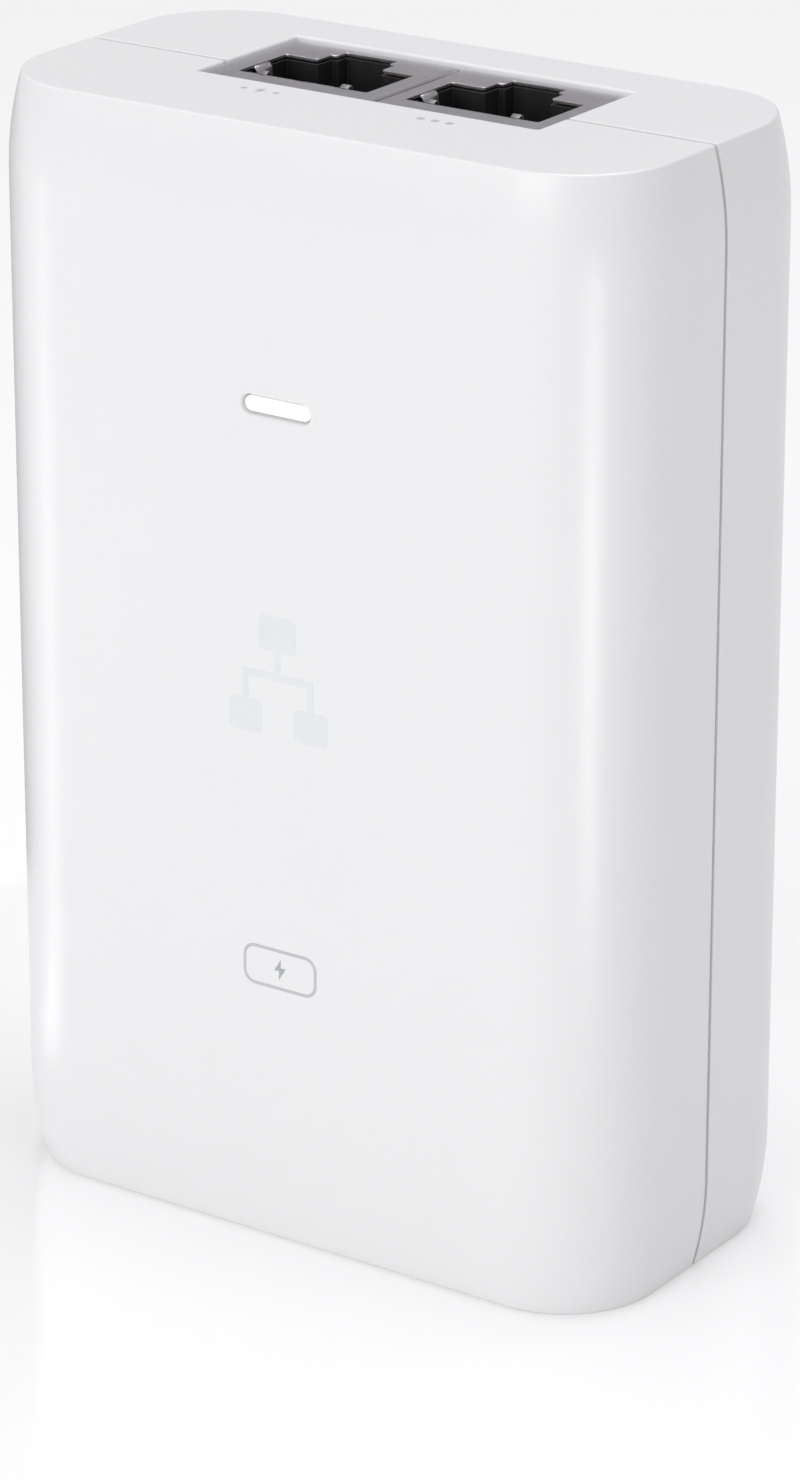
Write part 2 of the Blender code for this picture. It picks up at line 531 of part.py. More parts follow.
box("optocoupler", (10.0, FACE - 3.6, 40.0), (16.5, FACE, 43.8), EPOXY, bevel=0.25)
cylinder("y_capacitor", (-1.2, FACE - 5.2, 41.4), "Z", 4.2, 3.0, 14, DISC)
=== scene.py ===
"""The looks of the two-port PoE injector: smooth case shells, jacks, inlet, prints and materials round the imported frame."""

import math

import bmesh
import bpy
from mathutils import Matrix, Vector


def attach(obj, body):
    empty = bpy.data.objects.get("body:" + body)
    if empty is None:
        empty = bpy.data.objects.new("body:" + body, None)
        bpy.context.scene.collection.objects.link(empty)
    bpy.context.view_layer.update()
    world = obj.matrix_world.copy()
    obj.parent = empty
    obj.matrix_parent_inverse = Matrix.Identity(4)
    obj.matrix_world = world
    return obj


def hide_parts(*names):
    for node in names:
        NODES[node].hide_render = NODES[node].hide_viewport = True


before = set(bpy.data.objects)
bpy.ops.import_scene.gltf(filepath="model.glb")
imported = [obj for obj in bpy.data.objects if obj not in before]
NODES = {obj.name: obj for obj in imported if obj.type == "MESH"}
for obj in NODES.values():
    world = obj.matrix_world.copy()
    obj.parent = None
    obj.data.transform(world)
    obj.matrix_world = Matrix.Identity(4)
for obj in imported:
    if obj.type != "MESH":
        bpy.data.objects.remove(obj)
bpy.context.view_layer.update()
MM = 0.001

# ---- sizes the pieces share with the frame, mm -------------------------------------------
W, D, H = 60.4, 31.8, 92.0
CORNER_R = 9.5
END_RUN, END_ARC = 8.0, 28.0
WALL = 2.0
SEAM_Y, SEAM_GAP = -0.2, 0.4
RIM = 3.3
SKIN = 0.02                     # the skin lies this far inside the frame's faces, so that print stays inside its box
BOSS_X, BOSS_Z = 22.5, (9.0, 83.0)
JACK_X = {"data_jack": 7.88, "poe_jack": -7.88}
JACK_W, JACK_Y0, JACK_Y1 = 15.36, -3.86, 9.14
JACK_TOP, JACK_Z0, SHEET = 91.6, 73.5, 0.3
PORT_W, PORT_Y0, PORT_Y1 = 12.2, -1.2, 5.25
STEP_W, STEP_Y, LATCH_W, LATCH_Y1 = 6.1, 7.1, 4.9, 8.3
CAVITY_Z = 78.3
LED_Z, SLOT_W, SLOT_H = 70.3, 6.5, 1.6
INLET_Y, INLET_W, INLET_D, INLET_H = -0.8, 27.4, 19.6, 24.5
INLET_CAV_W, INLET_CAV_D, INLET_CAV_H = 24.4, 16.8, 17.5


# ---- materials ----------------------------------------------------------------------------
def shader_of(name):
    mat = bpy.data.materials.new(name)
    mat.use_nodes = True
    nodes, links = mat.node_tree.nodes, mat.node_tree.links
    shader = nodes["Principled BSDF"]
    coord = nodes.new("ShaderNodeTexCoord")
    return mat, nodes, links, shader, coord.outputs["Object"]


def noise(nodes, links, coord, scale, detail=3.0, roughness=0.5, stretch=None):
    tex = nodes.new("ShaderNodeTexNoise")
    tex.inputs["Scale"].default_value = scale
    tex.inputs["Detail"].default_value = detail
    tex.inputs["Roughness"].default_value = roughness
    source = coord
    if stretch:
        mapping = nodes.new("ShaderNodeMapping")
        mapping.inputs["Scale"].default_value = stretch
        links.new(coord, mapping.inputs["Vector"])
        source = mapping.outputs["Vector"]
    links.new(source, tex.inputs["Vector"])
    return tex.outputs["Fac"]


def mapped(nodes, links, value, lo, hi, src=(0.3, 0.7)):
    node = nodes.new("ShaderNodeMapRange")
    node.inputs["From Min"].default_value, node.inputs["From Max"].default_value = src
    node.inputs["To Min"].default_value, node.inputs["To Max"].default_value = lo, hi
    links.new(value, node.inputs["Value"])
    return node.outputs["Result"]


def blend_colours(nodes, links, value, a, b):
    mix = nodes.new("ShaderNodeMix")
    mix.data_type = "RGBA"
    mix.inputs["A"].default_value = (*a, 1)
    mix.inputs["B"].default_value = (*b, 1)
    links.new(value, mix.inputs["Factor"])
    return mix.outputs["Result"]


def bump(nodes, links, shader, value, strength, distance):
    node = nodes.new("ShaderNodeBump")
    node.inputs["Strength"].default_value = strength
    node.inputs["Distance"].default_value = distance
    links.new(value, node.inputs["Height"])
    links.new(node.outputs["Normal"], shader.inputs["Normal"])


def finish_of(name, a, b, rough, metallic=0.0, tone_scale=60.0, grain=2500.0, relief=(0.1, 4e-6), stretch=None, **sockets):
    """A surface whose colour drifts between a and b, whose roughness drifts with it, and whose grain is a fine relief."""
    mat, nodes, links, shader, coord = shader_of(name)
    tone = noise(nodes, links, coord, tone_scale, 4.0, 0.55)
    links.new(blend_colours(nodes, links, mapped(nodes, links, tone, 0, 1), a, b), shader.inputs["Base Color"])
    fine = noise(nodes, links, coord, grain, 3.0, 0.6, stretch)
    links.new(mapped(nodes, links, fine, *rough), shader.inputs["Roughness"])
    shader.inputs["Metallic"].default_value = metallic
    bump(nodes, links, shader, fine, *relief)
    for socket, value in sockets.items():
        shader.inputs[socket.replace("_", " ")].default_value = value
    mat.diffuse_color = (*a, 1)
    return mat


def banded(name, a, b, rough, pitch, axis, metallic=0.0, depth=6e-5, **sockets):
    """Wound wire or tape: bands of one pitch, mm, along an axis."""
    mat, nodes, links, shader, coord = shader_of(name)
    wave = nodes.new("ShaderNodeTexWave")
    wave.wave_type, wave.bands_direction = "BANDS", axis
    wave.inputs["Scale"].default_value = math.tau / (20.0 * pitch * MM)
    wave.inputs["Distortion"].default_value = 0.35
    wave.inputs["Detail"].default_value = 1.5
    wave.inputs["Detail Scale"].default_value = 0.6
    links.new(coord, wave.inputs["Vector"])
    tone = noise(nodes, links, coord, 240, 3.0)
    add = nodes.new("ShaderNodeMath")
    add.operation = "MULTIPLY"
    links.new(wave.outputs["Fac"], add.inputs[0])
    links.new(mapped(nodes, links, tone, 0.7, 1.2), add.inputs[1])
    links.new(blend_colours(nodes, links, add.outputs[0], a, b), shader.inputs["Base Color"])
    links.new(mapped(nodes, links, tone, *rough), shader.inputs["Roughness"])
    shader.inputs["Metallic"].default_value = metallic
    bump(nodes, links, shader, wave.outputs["Fac"], 0.8, depth)
    for socket, value in sockets.items():
        shader.inputs[socket.replace("_", " ")].default_value = value
    mat.diffuse_color = (*b, 1)
    return mat


WHITE = finish_of("case_white_moulded", (0.845, 0.845, 0.85), (0.865, 0.865, 0.868), (0.27, 0.35), tone_scale=18, grain=5200,
                  relief=(0.05, 2.5e-6), IOR=1.5)
TIN = finish_of("shield_tin", (0.62, 0.59, 0.62), (0.67, 0.64, 0.665), (0.27, 0.35), 1.0, tone_scale=220, grain=900,
                relief=(0.04, 2e-6), stretch=(1, 1, 7))
# darker, rougher tin for the shield's inner tongues: painted shade, in place of their glint
TIN_PAINTED_SHADE = finish_of("shield_tin_tongue", (0.27, 0.26, 0.27), (0.33, 0.32, 0.33), (0.5, 0.62), 1.0, tone_scale=500, grain=1600,
                     relief=(0.1, 6e-6), stretch=(7, 1, 1))
BLACK = finish_of("jack_black", (0.010, 0.010, 0.011), (0.018, 0.018, 0.019), (0.34, 0.5), tone_scale=150, grain=3800, relief=(0.12, 5e-6))
GOLD = finish_of("contact_gold_wire", (0.83, 0.60, 0.24), (0.90, 0.68, 0.32), (0.16, 0.28), 1.0, tone_scale=500, grain=1800,
                 relief=(0.08, 3e-6), stretch=(6, 1, 1))
NICKEL = finish_of("blade_nickel", (0.70, 0.68, 0.64), (0.78, 0.76, 0.72), (0.18, 0.3), 1.0, tone_scale=260, grain=1500,
                   relief=(0.1, 4e-6), stretch=(6, 6, 1))
ZINC = finish_of("screw_zinc_plate", (0.56, 0.57, 0.60), (0.68, 0.68, 0.69), (0.22, 0.36), 1.0, tone_scale=400, grain=1500, relief=(0.1, 5e-6))
EPOXY = finish_of("package_epoxy", (0.016, 0.016, 0.018), (0.032, 0.032, 0.034), (0.45, 0.62), tone_scale=300, grain=3000, relief=(0.25, 8e-6))
FERRITE = finish_of("ferrite_sintered", (0.055, 0.055, 0.06), (0.10, 0.10, 0.105), (0.5, 0.72), tone_scale=500, grain=2200, relief=(0.4, 1.2e-5))
FILM = finish_of("film_box_yellow", (0.74, 0.56, 0.08), (0.84, 0.66, 0.13), (0.4, 0.5), tone_scale=120, grain=2500, relief=(0.15, 6e-6))
DISC = finish_of("dipped_blue", (0.035, 0.10, 0.40), (0.06, 0.15, 0.50), (0.25, 0.4), tone_scale=260, grain=500, relief=(0.3, 3e-5))
SLEEVE = finish_of("sleeve_navy", (0.022, 0.04, 0.10), (0.035, 0.06, 0.15), (0.22, 0.34), tone_scale=200, grain=900, relief=(0.1, 6e-6))
ALUMINIUM = finish_of("heatsink_sheet", (0.68, 0.69, 0.71), (0.79, 0.80, 0.82), (0.28, 0.42), 1.0, tone_scale=90, grain=900,
                      relief=(0.2, 6e-6), stretch=(1, 9, 1))
SHEET_MAT = finish_of("fish_paper", (0.66, 0.62, 0.52), (0.76, 0.72, 0.62), (0.5, 0.62), tone_scale=90, grain=1800, relief=(0.25, 8e-6))
LABEL = finish_of("label_film", (0.66, 0.67, 0.685), (0.73, 0.74, 0.75), (0.3, 0.42), 0.35, tone_scale=40, grain=2600,
                  relief=(0.08, 3e-6), stretch=(8, 1, 1))
RESIN = finish_of("led_resin_clear", (0.86, 0.84, 0.66), (0.94, 0.92, 0.78), (0.15, 0.25), tone_scale=400, grain=2000, relief=(0.05, 3e-6))
COPPER = banded("coil_enamelled", (0.22, 0.07, 0.02), (0.72, 0.30, 0.10), (0.2, 0.32), 0.9, "Z", 0.85)
TAPE = banded("winding_tape_yellow", (0.66, 0.50, 0.05), (0.82, 0.66, 0.14), (0.34, 0.46), 3.0, "Y", depth=2e-5)

# the board: green mask over faint copper runs
BOARD, _n, _l, _s, _c = shader_of("board_solder_mask")
_runs = _n.new("ShaderNodeTexBrick")
_runs.inputs["Scale"].default_value = 190
_runs.inputs["Mortar Size"].default_value = 0.06
_runs.inputs["Color1"].default_value = (0.018, 0.155, 0.055, 1)
_runs.inputs["Color2"].default_value = (0.022, 0.185, 0.066, 1)
_runs.inputs["Mortar"].default_value = (0.045, 0.27, 0.10, 1)
_turn = _n.new("ShaderNodeMapping")
_turn.inputs["Rotation"].default_value = (math.radians(90), 0, 0)
_l.new(_c, _turn.inputs["Vector"])
_l.new(_turn.outputs["Vector"], _runs.inputs["Vector"])
_l.new(_runs.outputs["Color"], _s.inputs["Base Color"])
_l.new(mapped(_n, _l, noise(_n, _l, _c, 800), 0.3, 0.45), _s.inputs["Roughness"])
bump(_n, _l, _s, _runs.outputs["Fac"], 0.3, 1e-5)

# the light bar: milky, and faintly lit from behind
LENS, _n, _l, _s, _c = shader_of("light_bar_milky")
_l.new(blend_colours(_n, _l, noise(_n, _l, _c, 900), (0.93, 0.93, 0.93), (0.96, 0.96, 0.96)), _s.inputs["Base Color"])
_l.new(mapped(_n, _l, noise(_n, _l, _c, 3000), 0.22, 0.32), _s.inputs["Roughness"])
_s.inputs["Emission Color"].default_value = (1, 1, 1, 1)
_s.inputs["Emission Strength"].default_value = 0.16


def ink(name, rgb):
    return finish_of(name, rgb, tuple(min(1, v * 1.03) for v in rgb), (0.3, 0.38), tone_scale=300, grain=5200, relief=(0.05, 2.5e-6))


INK_PALE = ink("print_pale", (0.775, 0.80, 0.812))
INK_GREY = ink("print_grey", (0.55, 0.545, 0.575))
INK_DARK = ink("print_mid", (0.42, 0.435, 0.445))


# ---- mesh helpers ---------------------------------------------------------------------------
def link(name, bm, *mats):
    bmesh.ops.recalc_face_normals(bm, faces=bm.faces[:])
    data = bpy.data.meshes.new(name)
    bm.to_mesh(data)
    bm.free()
    obj = bpy.data.objects.new(name, data)
    bpy.context.scene.collection.objects.link(obj)
    for mat in mats:
        data.materials.append(mat)
    return obj


def baked(obj):
    """Applies the modifiers, so that the object is a plain mesh."""
    graph = bpy.context.evaluated_depsgraph_get()
    data = bpy.data.meshes.new_from_object(obj.evaluated_get(graph), depsgraph=graph)
    old, name = obj.data, obj.data.name
    obj.modifiers.clear()
    obj.data = data
    bpy.data.meshes.remove(old)
    data.name = name
    return obj


def carve(obj, *steps):
    """steps are (operation, cutter). Every cutter is used once and removed."""
    for operation, other in steps:
        mod = obj.modifiers.new("carve", "BOOLEAN")
        mod.operation, mod.solver, mod.object = operation, "EXACT", other
    baked(obj)
    for _, other in steps:
        bpy.data.objects.remove(other)
    bm = bmesh.new()
    bm.from_mesh(obj.data)
    bmesh.ops.remove_doubles(bm, verts=bm.verts[:], dist=2e-8)
    bmesh.ops.dissolve_degenerate(bm, edges=bm.edges[:], dist=1e-8)
    bm.to_mesh(obj.data)
    bm.free()
    return obj


def cut(*tools):
    return [("DIFFERENCE", tool) for tool in tools]


def add(*tools):
    return [("UNION", tool) for tool in tools]


def rounded(obj, width, segments=3, angle=38.0, weigh=None):
    """Small moulded edges, and normals that keep the flat faces flat. weigh(a, b) gives an edge's share of the width."""
    mod = obj.modifiers.new("edge", "BEVEL")
    mod.width, mod.segments = width * MM, segments
    mod.limit_method, mod.angle_limit = "ANGLE", math.radians(angle)
    if weigh:
        mod.limit_method = "WEIGHT"
        bm = bmesh.new()
        bm.from_mesh(obj.data)
        layer = bm.edges.layers.float.get("bevel_weight_edge") or bm.edges.layers.float.new("bevel_weight_edge")
        for e in bm.edges:
            sharp = len(e.link_faces) == 2 and e.calc_face_angle(0.0) > math.radians(angle)
            e[layer] = weigh(e.verts[0].co / MM, e.verts[1].co / MM) if sharp else 0.0
        bm.to_mesh(obj.data)
        bm.free()
    mod.use_clamp_overlap = False
    mod.miter_outer = "MITER_ARC"
    for poly in obj.data.polygons:
        poly.use_smooth = True
    flat = obj.modifiers.new("normals", "WEIGHTED_NORMAL")
    flat.weight, flat.keep_sharp, flat.mode = 60, False, "FACE_AREA_WITH_ANGLE"
    return obj


def block(name, lo, hi, mat=None, bevel=0.0, segs=4, along=None):
    lo, hi = Vector(lo), Vector(hi)
    bm = bmesh.new()
    bmesh.ops.create_cube(bm, size=1.0)
    bmesh.ops.scale(bm, vec=(hi - lo) * MM, verts=bm.verts[:])
    bmesh.ops.translate(bm, vec=(lo + hi) / 2 * MM, verts=bm.verts[:])
    if bevel:
        k = "XYZ".index(along) if along else None
        edges = [e for e in bm.edges if k is None or abs((e.verts[0].co - e.verts[1].co)[k]) > 1e-7]
        bmesh.ops.bevel(bm, geom=edges, offset=bevel * MM, segments=segs, profile=0.5, affect="EDGES", clamp_overlap=False)
        bmesh.ops.remove_doubles(bm, verts=bm.verts[:], dist=1e-8)
    return link(name, bm, *([mat] if mat else []))


def rod(name, at, axis, radius, length, segs=48, mat=None):
    bm = bmesh.new()
    bmesh.ops.create_cone(bm, cap_ends=True, segments=segs, radius1=radius * MM, radius2=radius * MM, depth=length * MM)
    turn = {"X": Matrix.Rotation(math.radians(90), 4, "Y"), "Y": Matrix.Rotation(math.radians(-90), 4, "X"), "Z": Matrix()}[axis]
    bmesh.ops.transform(bm, matrix=Matrix.Translation(Vector(at) * MM) @ turn, verts=bm.verts[:])
    return link(name, bm, *([mat] if mat else []))


def prism(name, loops, axis, lo, hi, mat=None):
    """Flat outlines, mm, pushed along an axis. Points are (x, y) for Z, (x, z) for Y, (y, z) for X."""
    order = {"Z": (0, 1, 2), "Y": (0, 2, 1), "X": (1, 2, 0)}[axis]
    bm = bmesh.new()
    for points in loops:
        rings = []
        for level in (lo, hi):
            ring = []
            for p in points:
                co = [0.0, 0.0, 0.0]
                co[order[0]], co[order[1]], co[order[2]] = p[0] * MM, p[1] * MM, level * MM
                ring.append(bm.verts.new(co))
            rings.append(ring)
        bm.faces.new(rings[0])
        bm.faces.new(rings[1][::-1])
        n = len(points)
        for i in range(n):
            j = (i + 1) % n
            bm.faces.new((rings[0][i], rings[0][j], rings[1][j], rings[1][i]))
    return link(name, bm, *([mat] if mat else []))


def corners_rounded(points, radius, segs=6):
    """The outline with each corner replaced by a short arc. radius is one number, or one for each corner."""
    out, n = [], len(points)
    for i in range(n):
        r = radius[i] if isinstance(radius, (list, tuple)) else radius
        p0, p1, p2 = (Vector(points[(i + k - 1) % n]) for k in range(3))
        a, b = (p0 - p1).normalized(), (p2 - p1).normalized()
        half = math.acos(max(-1, min(1, a.dot(b)))) / 2
        if r <= 0 or half > math.radians(89):
            out.append(tuple(p1))
            continue
        reach = min(r / math.tan(half), (p0 - p1).length * 0.49, (p2 - p1).length * 0.49)
        start, end = p1 + a * reach, p1 + b * reach
        r = reach * math.tan(half)
        middle = p1 + (a + b).normalized() * (r / math.sin(half))
        u, v = start - middle, end - middle
        sweep = math.atan2(u.x * v.y - u.y * v.x, u.dot(v))
        for k in range(segs + 1):
            t = sweep * k / segs
            out.append((middle.x + u.x * math.cos(t) - u.y * math.sin(t), middle.y + u.x * math.sin(t) + u.y * math.cos(t)))
    return out


def eased(points, rounds=3):
    """Chaikin's corner cutting on an open line: its ends stay."""
    line = [Vector(p) for p in points]
    for _ in range(rounds):
        new = [line[0]]
        for a, b in zip(line, line[1:]):
            new += [a.lerp(b, 0.25), a.lerp(b, 0.75)]
        line = new[:1] + new[2:-1] + [line[-1]]
    return [tuple(p) for p in line]


def ribbon(name, points, axis, centre, width, thick, mat=None, taper=0.0):
    """Sheet metal bent along a line: a closed solid of even thickness."""
    line = [Vector(p) for p in points]
    side = []
    for i, p in enumerate(line):
        a, b = line[max(0, i - 1)], line[min(len(line) - 1, i + 1)]
        t = (b - a).normalized()
        side.append(Vector((-t.y, t.x)) * thick / 2)
    order = {"Y": (0, 2, 1), "X": (1, 2, 0)}[axis]
    bm = bmesh.new()
    rows = []
    for i, (p, s) in enumerate(zip(line, side)):
        half = width / 2 * (1 - taper * max(0.0, (i / (len(line) - 1) - 0.6) / 0.4) ** 2)
        row = []
        for q, e in ((p + s, -half), (p + s, half), (p - s, half), (p - s, -half)):
            co = [0.0, 0.0, 0.0]
            co[order[0]], co[order[1]], co[order[2]] = q.x * MM, q.y * MM, (centre + e) * MM
            row.append(bm.verts.new(co))
        rows.append(row)
    bm.faces.new(rows[0])
    bm.faces.new(rows[-1][::-1])
    for a, b in zip(rows, rows[1:]):
        for k in range(4):
            bm.faces.new((a[k], b[k], b[(k + 1) % 4], a[(k + 1) % 4]))
    return link(name, bm, *([mat] if mat else []))


# ---- the case -------------------------------------------------------------------------------
def end_inset(z):
    near = min(z, H - z)
    return (END_RUN - near) ** 2 / (2 * END_ARC) if near < END_RUN else 0.0


def case_body(name, inset, y0, y1, z0=0.0, z1=H, segs=20, step=0.5, mats=()):
    """The rounded case solid with curved-in ends, shrunk by inset and kept between two Y planes and two Z planes."""
    bm = bmesh.new()
    bmesh.ops.create_cube(bm, size=1.0)
    bmesh.ops.scale(bm, vec=Vector((W, D, z1 - z0)), verts=bm.verts[:])
    bmesh.ops.translate(bm, vec=Vector((0, 0, (z0 + z1) / 2)), verts=bm.verts[:])
    upright = [e for e in bm.edges if abs(e.verts[0].co.z - e.verts[1].co.z) > 1]
    bmesh.ops.bevel(bm, geom=upright, offset=CORNER_R, segments=segs, profile=0.5, affect="EDGES", clamp_overlap=False)
    near = step
    while near <= END_RUN + 1e-6:
        for level in (near, H - near):
            if z0 + 0.2 < level < z1 - 0.2:
                bmesh.ops.bisect_plane(bm, geom=bm.verts[:] + bm.edges[:] + bm.faces[:], plane_co=(0, 0, level), plane_no=(0, 0, 1))
        near += step
    for v in bm.verts:
        core = Vector((max(-(W / 2 - CORNER_R), min(W / 2 - CORNER_R, v.co.x)), max(-(D / 2 - CORNER_R), min(D / 2 - CORNER_R, v.co.y))))
        out = (v.co.xy - core) / CORNER_R
        v.co.xy = core + out * (CORNER_R - inset - end_inset(v.co.z))
    for level, keep_above in ((y0, True), (y1, False)):
        if level is None:
            continue
        bmesh.ops.bisect_plane(bm, geom=bm.verts[:] + bm.edges[:] + bm.faces[:], plane_co=(0, level, 0), plane_no=(0, 1, 0),
                               clear_inner=keep_above, clear_outer=not keep_above)
        bmesh.ops.edgeloop_fill(bm, edges=[e for e in bm.edges if e.is_boundary])
    bmesh.ops.scale(bm, vec=(MM, MM, MM), verts=bm.verts[:])
    return link(name, bm, *mats)


def inlet_outline(width, depth, chamfer):
    x, y0, y1 = width / 2, INLET_Y - depth / 2, INLET_Y + depth / 2
    return [(-x, y0), (x, y0), (x, y1 - chamfer), (x - chamfer, y1), (-x + chamfer, y1), (-x, y1 - chamfer)]


def slot_outline(grow=0.0):
    """The light slot: a bar with half-round ends."""
    r, x = SLOT_H / 2 + grow, SLOT_W / 2 - SLOT_H / 2
    points = []
    for centre, a0 in ((x, -90), (-x, 90)):
        points += [(centre + r * math.cos(math.radians(a0 + 7.5 * k)), LED_Z + r * math.sin(math.radians(a0 + 7.5 * k))) for k in range(25)]
    return points


def lap(name, inset, deep, y0, y1):
    """A closed ring that follows the case wall: from inset to deep behind the surface."""
    ring = case_body(name, inset, y0, y1, inset, H - inset, segs=12, step=2.0)
    return carve(ring, *cut(case_body("tool_lap", deep, y0 - 1, y1 + 1, deep, H - deep, segs=12, step=2.0)))


front = case_body("front_cover", SKIN, None, SEAM_Y - SEAM_GAP / 2, 0.0, H - SKIN, mats=(WHITE,))
rear = case_body("rear_cover", SKIN, SEAM_Y + SEAM_GAP / 2, None, 0.0, H - SKIN, mats=(WHITE,))
HOLE = inlet_outline(INLET_W + 0.4, INLET_D + 0.4, 4.6)
WINDOW = ((-15.85, -4.1, 72.9), (15.85, 9.4, H + 2))

carve(front,
      *cut(case_body("tool_room", WALL, None, SEAM_Y - 3.0, WALL, H - WALL, segs=12, step=2.0),
           case_body("tool_rim", RIM, SEAM_Y - 4.0, SEAM_Y + 3.0, RIM, H - RIM, segs=12, step=2.0)),
      *add(lap("tool_lip", 0.85, 1.5, SEAM_Y - 1.2, SEAM_Y + 0.9)))
carve(rear,
      *cut(case_body("tool_room", WALL, SEAM_Y - 1.0, None, WALL, H - WALL, segs=12, step=2.0),
           lap("tool_rabbet", 0.75, 1.6, SEAM_Y - 0.6, SEAM_Y + 1.05)))
front_steps, rear_steps = [], []
for sx in (-1, 1):
    for bz in BOSS_Z:
        x = sx * BOSS_X
        front_steps += add(rod("tool_boss", (x, (-14.2 + 9.35) / 2, bz), "Y", 3.0, 9.35 + 14.2, 32))
        front_steps += cut(rod("tool_bore", (x, 5.5, bz), "Y", 1.35, 12.0, 24))
        rear_steps += add(rod("tool_boss", (x, (11.15 + 14.15) / 2, bz), "Y", 3.3, 14.15 - 11.15, 40))
        rear_steps += cut(rod("tool_well", (x, 16.0, bz), "Y", 2.6, 5.2, 56), rod("tool_thru", (x, 12.5, bz), "Y", 1.4, 4.0, 32))
carve(front, *front_steps,
      *cut(block("tool_window", *WINDOW),
           prism("tool_hole", [HOLE], "Z", -1.0, INLET_H + 0.3),
           prism("tool_slot", [slot_outline()], "Y", -20, -11)))
carve(rear, *rear_steps,
      *cut(block("tool_window", *WINDOW),
           prism("tool_hole", [HOLE], "Z", -1.0, INLET_H + 0.3),
           block("tool_label", (-17.2, D / 2 - 0.3, 21.8), (17.2, D / 2 + 2, 70.2), bevel=1.2, segs=8, along="Y")))
def case_edge(a, b):
    """How much of the edge radius an edge of the case gets: crisp at the seam, none at the screw wells, full at the window."""
    if all(p.y > 11 and min(math.hypot(abs(p.x) - BOSS_X, p.z - bz) for bz in BOSS_Z) < 2.8 for p in (a, b)):
        return 0.0
    if abs(a.y - b.y) < 0.02 and abs(abs(a.y - SEAM_Y) - SEAM_GAP / 2) < 0.05:
        return 0.45
    inside = [abs(p.x) < 16.5 and -4.6 < p.y < 9.9 and p.z > H - 0.5 for p in (a, b)]
    return 1.0 if all(inside) else 0.75


def outer_normal(p):
    """The exact normal of the case's outside at p, mm, or None off it."""
    cx = max(-(W / 2 - CORNER_R), min(W / 2 - CORNER_R, p.x))
    cy = max(-(D / 2 - CORNER_R), min(D / 2 - CORNER_R, p.y))
    d = Vector((p.x - cx, p.y - cy))
    if abs(d.length - (CORNER_R - SKIN - end_inset(p.z))) > 0.009:
        return None
    near = min(p.z, H - p.z)
    slope = (END_RUN - near) / END_ARC * (-1 if p.z < H / 2 else 1) if near < END_RUN else 0.0
    return Vector((d.x / d.length, d.y / d.length, slope)).normalized()


def true_normals(obj):
    baked(obj)
    data = obj.data
    normals = [n.vector.copy() for n in data.corner_normals]
    bm = bmesh.new()
    bm.from_mesh(data)
    for e in bm.edges:
        e.smooth = not (len(e.link_faces) == 2 and e.calc_face_angle(0.0) > math.radians(40))
    bm.to_mesh(data)
    bm.free()
    for poly in data.polygons:
        for k in poly.loop_indices:
            exact = outer_normal(data.vertices[data.loops[k].vertex_index].co / MM)
            if exact and exact.dot(poly.normal) > 0.985:
                normals[k] = exact
    data.normals_split_custom_set(normals)


for obj, node in ((front, "front_shell"), (rear, "rear_shell")):
    rounded(obj, 0.24, 3, weigh=case_edge)
    true_normals(obj)
    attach(obj, "case")
    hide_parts(node)

# ---- status light ---------------------------------------------------------------------------
lens = prism("light_bar", [slot_outline(-0.17)], "Y", -15.6, -13.2, LENS)
carve(lens, *add(block("tool_flange", (-4.4, -13.75, LED_Z - 1.5), (4.4, -12.8, LED_Z + 1.5), bevel=0.5, segs=4, along="Y"),
                 block("tool_stem", (-2.4, -13.3, LED_Z - 0.6), (2.4, 8.1, LED_Z + 0.6), bevel=0.15, segs=2, along="Y")))
rounded(lens, 0.1, 3)
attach(lens, "case")
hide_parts("light_pipe")


# ---- jacks ----------------------------------------------------------------------------------
def port_outline(xc, grow=0.0):
    x, s, n = PORT_W / 2 + grow, STEP_W / 2 + grow, LATCH_W / 2 + grow
    y0, y1, y2, y3 = PORT_Y0 - grow, PORT_Y1 + grow, STEP_Y + grow, LATCH_Y1 + grow
    right = [(x, y0), (x, y1), (s, y1), (s, y2), (n, y2), (n, y3)]
    return [(xc + a, b) for a, b in right] + [(xc - a, b) for a, b in reversed(right)]


